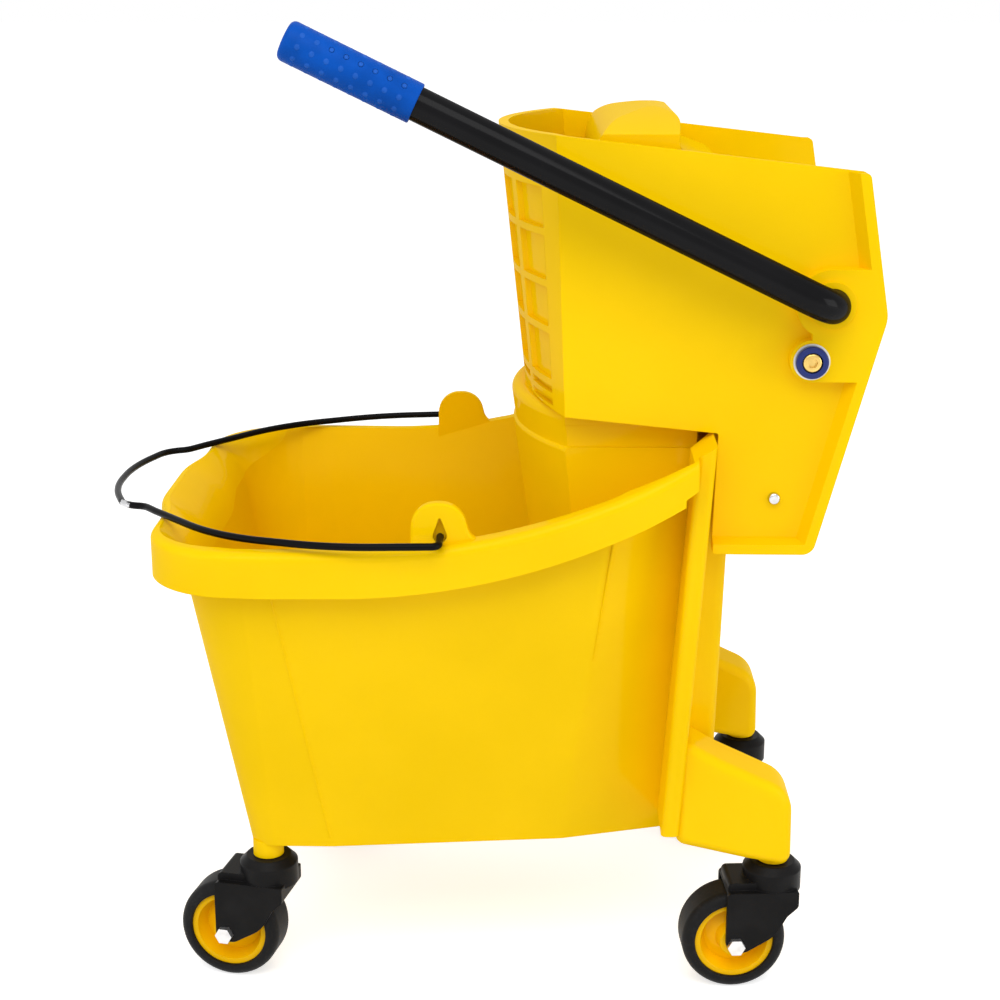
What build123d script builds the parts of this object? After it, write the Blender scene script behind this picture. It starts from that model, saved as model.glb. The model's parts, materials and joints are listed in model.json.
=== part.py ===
from build123d import *
import os
from math import cos, radians, sin, sqrt

# Side-press mop bucket on four swivel casters. Millimetres.
# X runs to the rear (wringer end), -Y is the lever's side, Z is up from the floor.
# Everything is built from the rear of the bucket's corner posts (X = 0) and from the floor,
# and is moved at the end so that X = 0 is the middle of the whole length.

# Clearances
RUN_GAP = 0.05        # radial clearance of a turning or pressed round fit
SEAT_GAP = 0.3        # between pieces that rest on each other and move apart
SIDE_GAP = 1.2        # between the wheel and the fork's cheeks
SOCKET_GAP = 0.5      # between the sockets and the forks' collars

# Casters
WHEEL_D = 75.0
TYRE_W = 32.0
TYRE_T = 9.0          # radial thickness of the tread ring
TYRE_ROUND = 7.0
TYRE_EDGE = 1.5       # rounding beside the hub
HUB_W = 26.0
HUB_RIM_T = 4.0
HUB_WEB_T = 7.0
HUB_BOSS_D = 21.0
HUB_BOSS_RUN = 2.0    # boss's taper towards the web
HUB_BOSS_FOOT = 3.0
HUB_RIM_RUN = 4.0     # web's slope up to the rim
AXLE_D = 6.35
BUSH_WALL_T = 2.8     # sleeve that the hub turns on
HEX_AF = 11.1
BOLT_HEAD_H = 4.2
NUT_H = 5.6
BOLT_END = 2.0
CHEEK_T = 4.0
TRAIL = 28.0          # stem axis to axle
COLLAR_D = 42.0
COLLAR_RISE = 20.5    # top of the fork's collar above the wheel
COLLAR_BEVEL = 5.0
COLLAR_EDGE = 0.8     # rounding under the bevel
FORK_TOP_UP = 3.5     # cheeks' top above the wheel
# Cheek's lower outline from the axle, and the rounding of each corner
FORK_OUTLINE = ((-7.0, -6.0), (7.0, -6.0), (28.0, 6.5), (36.5, 22.0), (44.5, 29.5))
FORK_ROUNDS = (8.0, 10.0, 25.0, 6.0, 4.0)
HOOD_GAP = 2.0        # between the tread and the fork over it
HOOD_T = 7.0
HOOD_SINK = 6.0       # hood reaches this far below the cheeks' top
STEM_D = 11.0
STEM_INTO_FORK = 25.0
STEM_INTO_BUCKET = 40.0
SOCKET_D = 22.0
SOCKET_DROP = 11.0    # front sockets hang this far under the tub
SOCKET_WALL = 7.0
STEM_INSET = 12.0     # front stems from the floor's edges
REAR_STEM_X = 53.0    # rear stems behind the posts' rear
# Turn of each caster about its stem as it stands, degrees
SWIVEL = {"front_left": -12.0, "front_right": 168.0, "rear_left": 4.0, "rear_right": -7.0}

# Tub
TUB_DEPTH = 238.0
TUB_WALL = 4.0
TUB_FLOOR_T = 5.0
RIM_LENGTH = 367.0
RIM_HALF_W = 176.0    # widest, at the shoulders
FRONT_NARROWER = 8.0
HIP_NARROWER = 15.0
REAR_NARROWER = 67.0
SHOULDER_BACK = 66.0  # shoulders behind the front wall, at the front rim's height
SHOULDER_LEAN = 37.0  # and this much further back at the floor
HIP_AHEAD = 67.5      # hips ahead of the posts' rear, at the front rim's height
HIP_LEAN = 32.0       # and this much further ahead at the floor
FLANK_NARROWER = 62.0  # side walls where they pass the posts
FLANK_AHEAD = 4.0      # that corner ahead of the posts' rear, at the front rim's height
FLANK_LEAN = 11.0      # and this much further ahead at the floor
FRONT_DRAFT = 43.0
REAR_WALL = 14.0      # rear wall behind the corner posts, at the front rim's height
REAR_DRAFT = 3.0
REAR_SIDE_DRAFT = 35.0
SIDE_DRAFT = 50.0
FRONT_SIDE_DRAFT = 42.0
HIP_DRAFT = 52.0
FLANK_DRAFT = 30.0
FRONT_R = 58.0        # front corners at the front rim's height
FLOOR_R = 18.0        # and at the floor
SHOULDER_R = 30.0
HIP_R = 24.0
FLANK_R = 8.0
REAR_R = 10.0
REAR_RISE = 70.0      # rear rim above the front rim
RISE_AHEAD = 240.0    # rim starts to rise this far ahead of the posts' rear
BAND_H = 31.0
BAND_REAR_H = 26.0
BAND_RISE_AHEAD = 250.0  # band's lower edge starts to rise this far ahead
BAND_KINK = 46.0      # slight turn of the band ahead of the posts' rear
BAND_KINK_OUT = 13.0  # band outside the posts there
BAND_END_OUT = 7.5    # and at the posts
BAND_KINK_R = 12.0
RIM_ROUND = 6.0       # rolled outer edge of the rim
LEDGE_T = 4.0         # floor of the rim's wide rear, over the band's lower edge
SLEEVE_ROOM = 3.0     # between the wringer's sleeve and the posts
RIDGE_R = 1.0         # slim ridges along the shoulders and the hips
RIDGE_FADE_R = 0.35   # and where the hips' ridges fade out
RIDGE_SINK = 0.5
SHOULDER_RIDGE_UP = 8.0  # ends of the ridges above the tub's base
HIP_RIDGE_UP = 150.0
BAND_OUT = 8.0
BAND_FRONT_OUT = 17.0
BAND_T = 3.0
BAND_END = 13.0       # band stops this far ahead of the posts' rear
BAND_CUT = 8.0        # slanted cut at the band's lower rear corner
FLARE_H = 48.0        # front wall flares out over this height under the rim
FLARE_EDGE = 5.0      # rim left in front of the flare
FLARE_IN = 1.2        # flare starts this far inside the wall
SPOUT_OUT = 9.0
SPOUT_HALF_W = 44.0
SPOUT_BLEND = 34.0    # run from the spout back to the front wall
SPOUT_R = 130.0
EAR_AHEAD = 182.0     # bail ears ahead of the corner posts
EAR_T = 7.0
EAR_WEB = 1.5         # left behind the bail's blind holes
EAR_H = 32.0
EAR_FRONT = 20.0      # ear's front edge ahead of the bail's hole
EAR_BACK = 21.0       # ear's rear foot behind it
EAR_LOBE_R = 17.0
EAR_FOOT_R = 12.0
EAR_HOLE_R = 4.6      # wide foot of the bail's drop-shaped hole
EAR_HOLE_H = 13.0     # and its point above the wire
EAR_HOLE_TIP = 0.8
POST_TOP_W = 13.0
POST_FOOT_W = 12.5
POST_INSET = 11.0     # posts' outer face at the rim inside the tub's widest
POST_REAR = 0.55      # posts' rear face at the rim ahead of X = 0
POST_LEAN = 15.75     # post's foot ahead of its top
POST_DEPTH = 52.0
POST_ROUND = 4.0
LEG_W = 44.0
LEG_INSET = 1.5       # leg's outer face inside the post's foot
LEG_ROUND = 7.0
LEG_BASE_UP = 2.5     # leg's underside above the caster
LEG_KNEE_UP = 48.0    # leg's rear knee and top above the tub's base
LEG_TOP_UP = 73.0
LEG_TOP_X = 10.0
LEG_RISE = 17.0       # leg's front above its underside
LEG_UNDER_R = 30.0    # roundings of the leg in side view
LEG_KNEE_R = 24.0
LEG_TOP_R = 40.0

# Bail
WIRE_D = 5.0
BAIL_HOLE_GAP = 0.3
BAIL_HOLE_UP = 8.0    # hole above the front rim
BAIL_GRASP = 45.0     # front of the bail ahead of the rim
BAIL_OUT = 18.0       # arms outside the ears
BAIL_BEND = 5.0       # bend at the ears, on the wire's centre line
BAIL_OVER_RIM = 0.6   # between the wire and the front rim
# Bail's bends: share of the reach ahead of the ears, and distance inside the arms
BAIL_ARM = ((0.283, 2.0), (0.607, 32.0))
# Bail's hand crook: distance behind its front, and half width there
BAIL_CROOK = ((43.0, 94.0), (33.0, 81.0), (17.0, 77.0), (0.0, 31.0))
BAIL_ARM_BENDS = (0.7, 0.55)  # shares of the reach
BAIL_CROOK_BENDS = (12.0, 14.0, 21.0, 150.0)

# Wringer housing, from the rear rim
PANEL_OUT = 22.0      # panels outside the tub's rear corners
PANEL_T = 4.0
LIP_OUT = 10.0
LIP_W = 7.0
LIP_RUN = 6.0         # slope beside the lip
FRONT_T = 7.0         # front wall, with its pockets' depth
POCKET_DEPTH = 4.0
FRONT_FOOT = (-100.5, 19.0)
FRONT_TOP = (-107.5, 196.0)
REAR_TOP = (93.0, 173.0)
REAR_KNEE = (109.0, 80.0)
TAIL_REAR = (67.0, -81.0)
PANEL_ROUNDS = (2.0, 4.0, 4.0, 22.0, 9.0, 2.0, 2.0)  # in the same order, then the tail's front
TAIL_GAP = 2.3        # tail's front wall behind the bucket's rear wall
TAIL_EDGE_TOP = 2.5   # panels' front edge beside the bucket, at the rim
TAIL_EDGE_LOW = 0.0   # and at the foot
BACK_TOP = 22.0       # top of the tail's back wall
FOOT_BULGE = 28.0     # front wall's bow at its foot
TOP_BULGE = 40.0      # and at its top
POCKET_ROWS = (11.9, 30.1, 66.1, 97.5, 131.8, 163.6)
POCKET_INNER = (9.0, 58.0)   # columns of pockets from the middle
POCKET_OUTER = 68.0
POCKET_EDGE = 19.0    # plain wall beside the panels
POCKET_RIB = 5.0
SLEEVE_DROP = 8.0     # sleeve's front shoulder under the panels' foot
SHOULDER_ROUND = 7.0
BEAD_H = 25.0         # bead round the sleeve's top
SKIRT_OUT = 2.0       # sleeve outside its bead
SKIRT_ROUND = 3.0
SLEEVE_INSET = 17.0
SLEEVE_BULGE = 38.0
SLEEVE_LOW_BULGE = 34.0
SLEEVE_DEPTH = 105.0
SLEEVE_TAPER = 9.0
SLEEVE_FRONT_TAPER = 12.0
SLEEVE_T = 3.5
SLEEVE_REAR = 10.0    # sleeve's rear wall ahead of the posts' rear
SADDLE_T = 4.0

# Wringer joints, from the rear rim
LEVER_PIVOT = (72.5, 88.8)
TIE_BOLT = (60.6, 51.5)
PRESS_HINGE = (41.0, -44.0)
PAD_R = 23.0
PAD_TIE_R = 14.0
PAD_LAP = 12.0        # tie bolt's part of the pad runs up into the bush's
TIE_D = 8.0
TIE_HEAD_OUT = 2.75   # head outside the bolt's shank
TIE_HEAD_H = 4.5
TIE_SOCKET_AF = 6.0
TIE_NUT_OUT = 2.5
TIE_NUT_H = 6.5
TIE_CUP_W = 4.0       # cup's ring round the head
TIE_CUP_T = 4.5
TIE_WASHER_OUT = 1.25  # washer outside the cup
TIE_WASHER_T = 1.6
HINGE_PIN_D = 6.0
PIN_CAP_WALL = 1.2
PIN_CAP_T = 4.0
PIN_CAP_END = 1.5
BUSH_WALL = 2.5
BUSH_FLANGE_W = 4.5   # flange outside the shaft
BUSH_FLANGE_T = 3.0

# Lever and cranks
TUBE_D = 22.0
TUBE_WALL = 2.0
TUBE_BEND = 20.0
LEVER_OUT = 34.0      # lever's centre line outside the panel
LEVER_LEN = 383.0
LEVER_REST = 25.8     # degrees above the horizon
LEVER_RANGE = 72.0
GRIP_WALL = 2.5
GRIP_LEN = 92.0
GRIP_END_T = 5.0
SHAFT_CAP_WALL = 5.0
SHAFT_CAP_T = 8.0
SHAFT_CAP_END = 3.0   # cap beyond the shaft's end
SHAFT_CAP_ROUND = 2.5
SHAFT_GAP = 0.6       # end float of the lever's shaft
CRANK_R = 76.0
CRANK_REST = 163.0    # crank's direction at rest, degrees from +X towards +Z
CRANK_T = 6.0
CRANK_EYE_W = 6.0     # arm's metal round the shaft
CRANK_TIP_W = 4.0     # and round its pin
CRANK_PIN_D = 10.0

# Press
PRESS_RATIO = 0.27    # press turn for each degree of the lever
PRESS_BAY = 16.0      # panels outside the press's cheeks
PRESS_SIDE_GAP = 2.5  # between cheeks and cranks
PRESS_CROWN = 14.0    # press's top is this much lower at its ends
CHEEK_WALL = 5.0
PRESS_T = 4.0
BARREL_R = 9.0
CAM_GAP = 0.2         # between the crank pin and each side of its slot
PRESS_FOOT = (0.0, 14.0)
PRESS_FRONT = (-98.0, 196.0)
PRESS_PEAK = (-40.0, 209.0)
PRESS_BACK = (-24.0, 204.0)
PRESS_NECK = (-30.0, 184.0)  # under the cap's rear edge
CHEEK_BACK = 13.0     # cheeks' rear edge behind the posts' rear
CHEEK_TOP_UP = 168.0
CHEEK_WAIST_UP = 92.0
CHEEK_FOOT_UP = 40.0
CHEEK_FOOT_BACK = 6.0  # and this much further back there
CROTCH = (6.0, 9.0)   # between hinge and plate, behind the tail's wall and above the rim
PRESS_ROUNDS = (1.0, 10.0, 6.0, 28.0, 30.0, 4.0, 12.0, 10.0, 20.0, 30.0, 1.0)  # from the hinge round

# Heights and places that follow
CASTER_H = WHEEL_D + COLLAR_RISE
SOCKET_Z = CASTER_H + SOCKET_GAP
TUB_BASE = SOCKET_Z + SOCKET_DROP
RIM_Z = TUB_BASE + TUB_DEPTH
REAR_Z = RIM_Z + REAR_RISE
TOP_Z = REAR_Z + 2 * RIM_ROUND
WHEEL_R = WHEEL_D / 2
BUSH_D = AXLE_D + 2 * BUSH_WALL_T
FORK_W = TYRE_W + 2 * (SIDE_GAP + CHEEK_T)
FLOOR_FRONT = -RIM_LENGTH + FRONT_DRAFT
FRONT_STEM_X = FLOOR_FRONT + STEM_INSET
STEM_Y = RIM_HALF_W - FRONT_NARROWER - FRONT_SIDE_DRAFT - STEM_INSET
EAR_X = -EAR_AHEAD
BAIL_Z = RIM_Z + BAIL_HOLE_UP
BAIL_REACH = RIM_LENGTH + BAND_FRONT_OUT - EAR_AHEAD + BAIL_GRASP
POST_TOP_X = -POST_REAR - POST_TOP_W / 2
POST_TOP_Y = RIM_HALF_W - POST_INSET
PANEL_HALF_W = RIM_HALF_W - REAR_NARROWER + PANEL_OUT
PANEL_IN = PANEL_HALF_W - PANEL_T
POCKET_COLUMNS = (POCKET_INNER, (POCKET_OUTER, PANEL_HALF_W - POCKET_EDGE))
PRESS_HALF_W = PANEL_IN - PRESS_BAY
TIE_HEAD_D = TIE_D + 2 * TIE_HEAD_OUT
TIE_NUT_AF = TIE_D + 2 * TIE_NUT_OUT
TIE_CUP_D = TIE_HEAD_D + 2 * TIE_CUP_W
TIE_WASHER_D = TIE_CUP_D + 2 * TIE_WASHER_OUT
PIN_CAP_D = HINGE_PIN_D + 2 * PIN_CAP_WALL
BUSH_FLANGE_D = TUBE_D + 2 * BUSH_FLANGE_W
GRIP_D = TUBE_D + 2 * GRIP_WALL
SHAFT_CAP_D = TUBE_D + 2 * SHAFT_CAP_WALL
CRANK_EYE = TUBE_D / 2 + CRANK_EYE_W
CRANK_TIP = CRANK_PIN_D / 2 + CRANK_TIP_W
LIP_Y = PANEL_HALF_W + LIP_OUT
SLEEVE_HALF_W = PANEL_HALF_W - SLEEVE_INSET
TAIL_WALL = REAR_WALL + TAIL_GAP
LEVER_Y = PANEL_HALF_W + LEVER_OUT
CRANK_Y = PRESS_HALF_W + PRESS_SIDE_GAP
BAIL_FRONT = EAR_X - BAIL_REACH - WIRE_D / 2
MIDDLE_X = (BAIL_FRONT + REAR_KNEE[0]) / 2
STEMS = {
    "front_left": (FRONT_STEM_X, -STEM_Y),
    "front_right": (FRONT_STEM_X, STEM_Y),
    "rear_left": (REAR_STEM_X, -STEM_Y),
    "rear_right": (REAR_STEM_X, STEM_Y),
}


def blend(low, high, share):
    """Value that is the given share of the way from low to high."""
    return low + (high - low) * share


def above_rim(point):
    """Side-view point given from the rear rim, as (x, z) from the floor."""
    return (point[0], REAR_Z + point[1])


def side_plate(outline, y_from, y_to):
    """Solid of a face drawn in side view as (x, z), between two distances across."""
    return extrude(Plane.XZ.offset(-y_to) * outline, y_to - y_from)


def rounded(points, radii):
    """Face of a closed outline with its corners rounded."""
    return make_face(FilletPolyline(*points, radius=radii, close=True))


def polygon(points):
    """Face of a closed outline with sharp corners."""
    return make_face(Polyline(*points, close=True))


def disc_y(radius, y_from, y_to, x, z):
    """Cylinder along Y."""
    middle = (x, (y_from + y_to) / 2, z)
    return Pos(*middle) * Rot(90, 0, 0) * Cylinder(radius, abs(y_to - y_from))


def hexagon_y(across_flats, y_from, y_to, x, z):
    """Hexagonal prism along Y."""
    face = Pos(x, z) * RegularPolygon(across_flats / 2, 6, major_radius=False)
    return side_plate(face, y_from, y_to)


def upright(radius, height, z=0.0):
    """Cylinder standing on height z."""
    return Pos(0, 0, z) * Cylinder(radius, height, align=(Align.CENTER, Align.CENTER, Align.MIN))


def below(z):
    """Block that holds everything from the floor up to height z."""
    return Pos(0, 0, z / 2) * Box(3 * RIM_LENGTH, 3 * RIM_LENGTH, z)


def both_sides(solid):
    """A solid together with its mirror image across the middle plane."""
    return solid + mirror(solid, about=Plane.XZ)


# Tub


def tub_corners(z, side, front):
    """Left-hand corners of the tub's plan at height z, grown by side and front, front corner first."""
    share = (z - TUB_BASE) / TUB_DEPTH
    down = 1 - share
    front_x = blend(FLOOR_FRONT, -RIM_LENGTH, share) - front
    front_w = RIM_HALF_W - FRONT_NARROWER - FRONT_SIDE_DRAFT * down
    shoulder_w = RIM_HALF_W - SIDE_DRAFT * down
    hip_w = RIM_HALF_W - HIP_NARROWER - HIP_DRAFT * down
    flank_w = RIM_HALF_W - FLANK_NARROWER - FLANK_DRAFT * down
    rear_w = RIM_HALF_W - REAR_NARROWER - REAR_SIDE_DRAFT * down
    return [
        (front_x, -front_w - side),
        (-RIM_LENGTH + SHOULDER_BACK + SHOULDER_LEAN * down, -shoulder_w - side),
        (-HIP_AHEAD - HIP_LEAN * down, -hip_w - side),
        (-FLANK_AHEAD - FLANK_LEAN * down, -flank_w - side),
        (REAR_WALL - REAR_DRAFT * down + side, -rear_w - side),
    ]


def mirrored_plan(left, radii, z):
    """Plan face at height z from the corners of its left half and their radii."""
    right = [(x, -y) for x, y in reversed(left)]
    return Pos(0, 0, z) * rounded(left + right, radii + radii[::-1])


def with_spout(left, spout):
    """Left-hand corners with the spout's two added ahead of the front corner."""
    front_x = left[0][0]
    return [(front_x - spout, -SPOUT_HALF_W), (front_x, -SPOUT_HALF_W - SPOUT_BLEND)] + left


def tub_plan(z, side=0.0, front=None, spout=0.0):
    """Face of the tub's plan outline at height z."""
    left = tub_corners(z, side, side if front is None else front)
    front_r = blend(FLOOR_R, FRONT_R, (z - TUB_BASE) / TUB_DEPTH) + side
    radii = [front_r, SHOULDER_R, HIP_R, FLANK_R, REAR_R + side]
    if spout:
        left = with_spout(left, spout)
        radii = [SPOUT_R, SPOUT_R] + radii
    return mirrored_plan(left, radii, z)


def tub_form(low, high, **grown):
    """Solid inside the tub's outline between two heights."""
    return loft([tub_plan(low, **grown), tub_plan(high, **grown)])


def rise_radius(run, rise):
    """Radius of the arc that leaves the level smoothly and climbs by rise over run."""
    return (run**2 + rise**2) / (2 * rise)


def rim_height(x):
    """Height of the rim at a place ahead of the posts' rear."""
    run = max(0.0, RISE_AHEAD + x)
    radius = rise_radius(RISE_AHEAD, REAR_RISE)
    return RIM_Z + radius - sqrt(radius**2 - run**2)


def under_line(front_z, rear_z, ahead):
    """Everything under a level line that climbs to rear_z from the given distance ahead."""
    far = 3 * RIM_LENGTH
    radius = rise_radius(ahead, rear_z - front_z)
    middle = (-ahead / 2, front_z + radius - sqrt(radius**2 - (ahead / 2) ** 2))
    line = Polyline((0, rear_z), (far, rear_z), (far, 0), (-far, 0), (-far, front_z), (-ahead, front_z))
    rise = ThreePointArc((-ahead, front_z), middle, (0, rear_z))
    return side_plate(make_face(line + rise), -far, far)


def under_rim(drop):
    """Everything that lies lower than the rim line minus drop."""
    return under_line(RIM_Z - drop, REAR_Z - drop, RISE_AHEAD)


def under_band(rise):
    """Everything that lies lower than the band's lower edge plus rise."""
    return under_line(RIM_Z - BAND_H + rise, REAR_Z - BAND_REAR_H + rise, BAND_RISE_AHEAD)


def wall_half_width(x, z):
    """Half width of the tub's outside between its shoulders and its hips."""
    corners = tub_corners(z, 0, 0)
    (x1, y1), (x2, y2) = corners[1], corners[2]
    return -blend(y1, y2, (x - x1) / (x2 - x1))


EAR_Y = wall_half_width(EAR_X, RIM_Z) - TUB_WALL + EAR_T / 2


def bail_ear():
    """Rounded lug for the bail on the left rim, with a blind hole from outside."""
    foot_z = RIM_Z - BAND_H / 2
    top_z = RIM_Z + EAR_H
    sunk = EAR_T / 2
    back_x = EAR_X + EAR_BACK
    end_x = back_x + EAR_BACK
    points = [
        (EAR_X - EAR_FRONT, foot_z),
        (EAR_X - EAR_FRONT + 1, top_z),
        (EAR_X + EAR_LOBE_R - 3, top_z),
        (back_x, rim_height(back_x) - sunk),
        (end_x, rim_height(end_x) - sunk),
        (end_x, foot_z),
    ]
    face = rounded(points, [EAR_T / 2, EAR_LOBE_R, EAR_LOBE_R, EAR_FOOT_R, EAR_T / 2, EAR_T / 2])
    outer = EAR_Y + EAR_T / 2
    plate = side_plate(face, -outer, EAR_T - outer)
    plate = chamfer(plate.faces().sort_by(Axis.Y)[0].edges(), EAR_T / 5)
    wide_z = BAIL_Z - WIRE_D / 2 - BAIL_HOLE_GAP + EAR_HOLE_R
    wide = Pos(EAR_X, wide_z) * Circle(EAR_HOLE_R)
    tip = Pos(EAR_X, BAIL_Z + EAR_HOLE_H) * Circle(EAR_HOLE_TIP)
    hole = make_hull(wide.edges() + tip.edges())
    return plate - side_plate(hole, -outer - 1, EAR_T - EAR_WEB - outer)


def rear_leg():
    """Left rear leg behind the corner post, with its stem boss."""
    rear_x = REAR_STEM_X + SOCKET_D / 2
    front_x = POST_TOP_X - POST_LEAN + POST_FOOT_W / 3
    base = CASTER_H + LEG_BASE_UP
    points = [
        (front_x, base + LEG_RISE),
        (REAR_STEM_X - SOCKET_D, base + LEG_RISE / 3),
        (rear_x, base),
        (rear_x - 1, TUB_BASE + LEG_KNEE_UP),
        (LEG_TOP_X, TUB_BASE + LEG_TOP_UP),
        (front_x, TUB_BASE + LEG_TOP_UP + LEG_RISE),
    ]
    outer = STEM_Y + LEG_W / 2 - LEG_INSET
    tight = LEG_ROUND + 1
    radii = [tight, LEG_UNDER_R, tight, LEG_KNEE_R, LEG_TOP_R, tight]
    leg = side_plate(rounded(points, radii), -outer, LEG_W - outer)
    leg = fillet(leg.faces().filter_by(Axis.Y).edges(), LEG_ROUND)
    return leg + Pos(REAR_STEM_X, -STEM_Y, 0) * upright(SOCKET_D / 2, 2 * LEG_ROUND + LEG_BASE_UP, SOCKET_Z)


def corner_post():
    """Left rear corner post, leaning back from the leg up to the rim."""
    foot_y = STEM_Y + LEG_W / 2
    foot = RectangleRounded(POST_FOOT_W, POST_DEPTH, POST_ROUND)
    top = RectangleRounded(POST_TOP_W, POST_DEPTH, POST_ROUND)
    low = Pos(POST_TOP_X - POST_LEAN, POST_DEPTH / 2 - foot_y, TUB_BASE + LEG_RISE - 2) * foot
    high = Pos(POST_TOP_X, POST_DEPTH / 2 - POST_TOP_Y, REAR_Z) * top
    return loft([low, high])


def front_flare(grow):
    """Space over the front wall's curved flare to the spout, grown outwards by grow."""
    start = grow - TUB_WALL - FLARE_IN
    reach = BAND_FRONT_OUT - FLARE_EDGE + TUB_WALL + FLARE_IN
    plans = []
    for share in (0.0, 0.35, 0.7, 1.0):
        z = RIM_Z + 1 - FLARE_H * (1 - share)
        spout = 1 + (SPOUT_OUT - 1) * share**2
        plans.append(tub_plan(z, side=start, front=start + reach * share**3, spout=spout))
    return loft(plans)


def band_room(grow):
    """Solid inside the rim band's straight-down sides, grown outwards by grow."""
    left = tub_corners(RIM_Z, BAND_OUT + grow, BAND_FRONT_OUT + grow)[:2]
    left = with_spout(left, SPOUT_OUT)
    left.append((-BAND_KINK, -POST_TOP_Y - BAND_KINK_OUT - grow))
    left.append((0, -POST_TOP_Y - BAND_END_OUT - grow))
    radii = [SPOUT_R, SPOUT_R, FRONT_R + BAND_OUT + grow, SHOULDER_R, BAND_KINK_R, 2 * RIM_ROUND]
    low = RIM_Z - 2 * BAND_H
    return extrude(mirrored_plan(left, radii, low), TOP_Z - low)


def between_x(x_from, x_to):
    """Block that holds everything between two places along the bucket."""
    size = 2 * REAR_Z
    return Pos((x_from + x_to) / 2, 0, size / 2) * Box(x_to - x_from, size, size)


def rim_band():
    """Band round the rim with a rolled edge, open underneath as far as the hips."""
    band = band_room(0) & under_rim(0)
    tops = band.faces().filter_by(lambda face: face.normal_at().Z > 0.5)
    outline = [edge for edge in tops.edges() if sum(edge in face.edges() for face in tops) == 1]
    band = fillet(outline, RIM_ROUND)
    ahead = 2 * RIM_LENGTH
    hollow = band_room(-BAND_T) & under_rim(BAND_T) & between_x(-ahead, -HIP_AHEAD)
    hollow -= front_flare(BAND_T)
    band_foot = REAR_Z - BAND_REAR_H
    behind = [
        (-BAND_END, 2 * REAR_Z),
        (-BAND_END, band_foot - BAND_CUT / 4),
        (-BAND_END - BAND_CUT, band_foot - BAND_CUT),
        (-BAND_END - BAND_CUT, 0),
        (ahead, 0),
        (ahead, 2 * REAR_Z),
    ]
    return band - hollow - under_band(0) - side_plate(polygon(behind), -ahead, ahead)


def rear_mouth():
    """Space that widens the tub's mouth behind the hips, out to the band and down to a ledge."""
    rear_x = -BAND_END - BAND_T
    room = SLEEVE_HALF_W + SKIRT_OUT + SLEEVE_ROOM
    left = [
        (BAND_T - HIP_AHEAD, HIP_NARROWER - RIM_HALF_W),
        (rear_x, BAND_T - POST_TOP_Y - BAND_END_OUT),
        (rear_x, -room),
        (POST_TOP_X, -room),
    ]
    plan = polygon(left + [(x, -y) for x, y in reversed(left)])
    return extrude(plan, 2 * REAR_Z) - under_band(LEDGE_T)


def corner_ridge(corner, low_z, low_r, high_z):
    """Slim ridge along one of the tub's left corners, with its own radius at its lower end."""
    rings = []
    for z, radius in ((low_z, low_r), (high_z, RIDGE_R)):
        x, y = tub_corners(z, -RIDGE_SINK, 0)[corner]
        rings.append(Pos(x, y, z) * Circle(radius))
    return loft(rings)


def wall_ridges():
    """Ridges on the left wall, from under the band: one down the shoulder, a short one down the hip."""
    shoulder = corner_ridge(1, TUB_BASE + SHOULDER_RIDGE_UP, RIDGE_R, RIM_Z - BAND_H / 2)
    return shoulder + corner_ridge(2, TUB_BASE + HIP_RIDGE_UP, RIDGE_FADE_R, RIM_Z + BAND_T)


def bucket_tub():
    """The moulded bucket."""
    outer = tub_form(TUB_BASE, TOP_Z)
    inner = tub_form(TUB_BASE + TUB_FLOOR_T, TOP_Z + 5, side=-TUB_WALL)
    front_stem = Pos(FRONT_STEM_X, -STEM_Y, 0)
    socket = front_stem * upright(SOCKET_D / 2, SOCKET_DROP + 2, SOCKET_Z)
    column_h = STEM_INTO_BUCKET - SOCKET_DROP + SOCKET_WALL
    column = front_stem * upright(STEM_D / 2 + SOCKET_WALL, column_h, TUB_BASE)
    shell = outer + rim_band() + both_sides(corner_post() + rear_leg() + wall_ridges())
    shell &= under_rim(0)
    tub = shell - inner - front_flare(0) - rear_mouth()
    tub = tub + both_sides(socket + (column & outer)) + both_sides(bail_ear())
    for x, y in STEMS.values():
        tub -= Pos(x, y, 0) * upright(STEM_D / 2 + RUN_GAP, STEM_INTO_BUCKET + 1, CASTER_H)
    return tub


# Casters, built with the stem on the Z axis and the wheel trailing towards -X


def at_caster(name, solid):
    """Turn a caster's piece to how the caster stands and put it under its stem."""
    x, y = STEMS[name]
    return Pos(x, y, 0) * Rot(0, 0, SWIVEL[name]) * solid


def on_axle(solid):
    """Put a piece that is centred on its own Y axis on the caster's axle."""
    return Pos(-TRAIL, 0, WHEEL_R) * solid


def caster_stem():
    """Steel stem, fixed in the bucket, that the fork turns on."""
    return upright(STEM_D / 2, STEM_INTO_FORK + STEM_INTO_BUCKET, CASTER_H - STEM_INTO_FORK)


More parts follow.
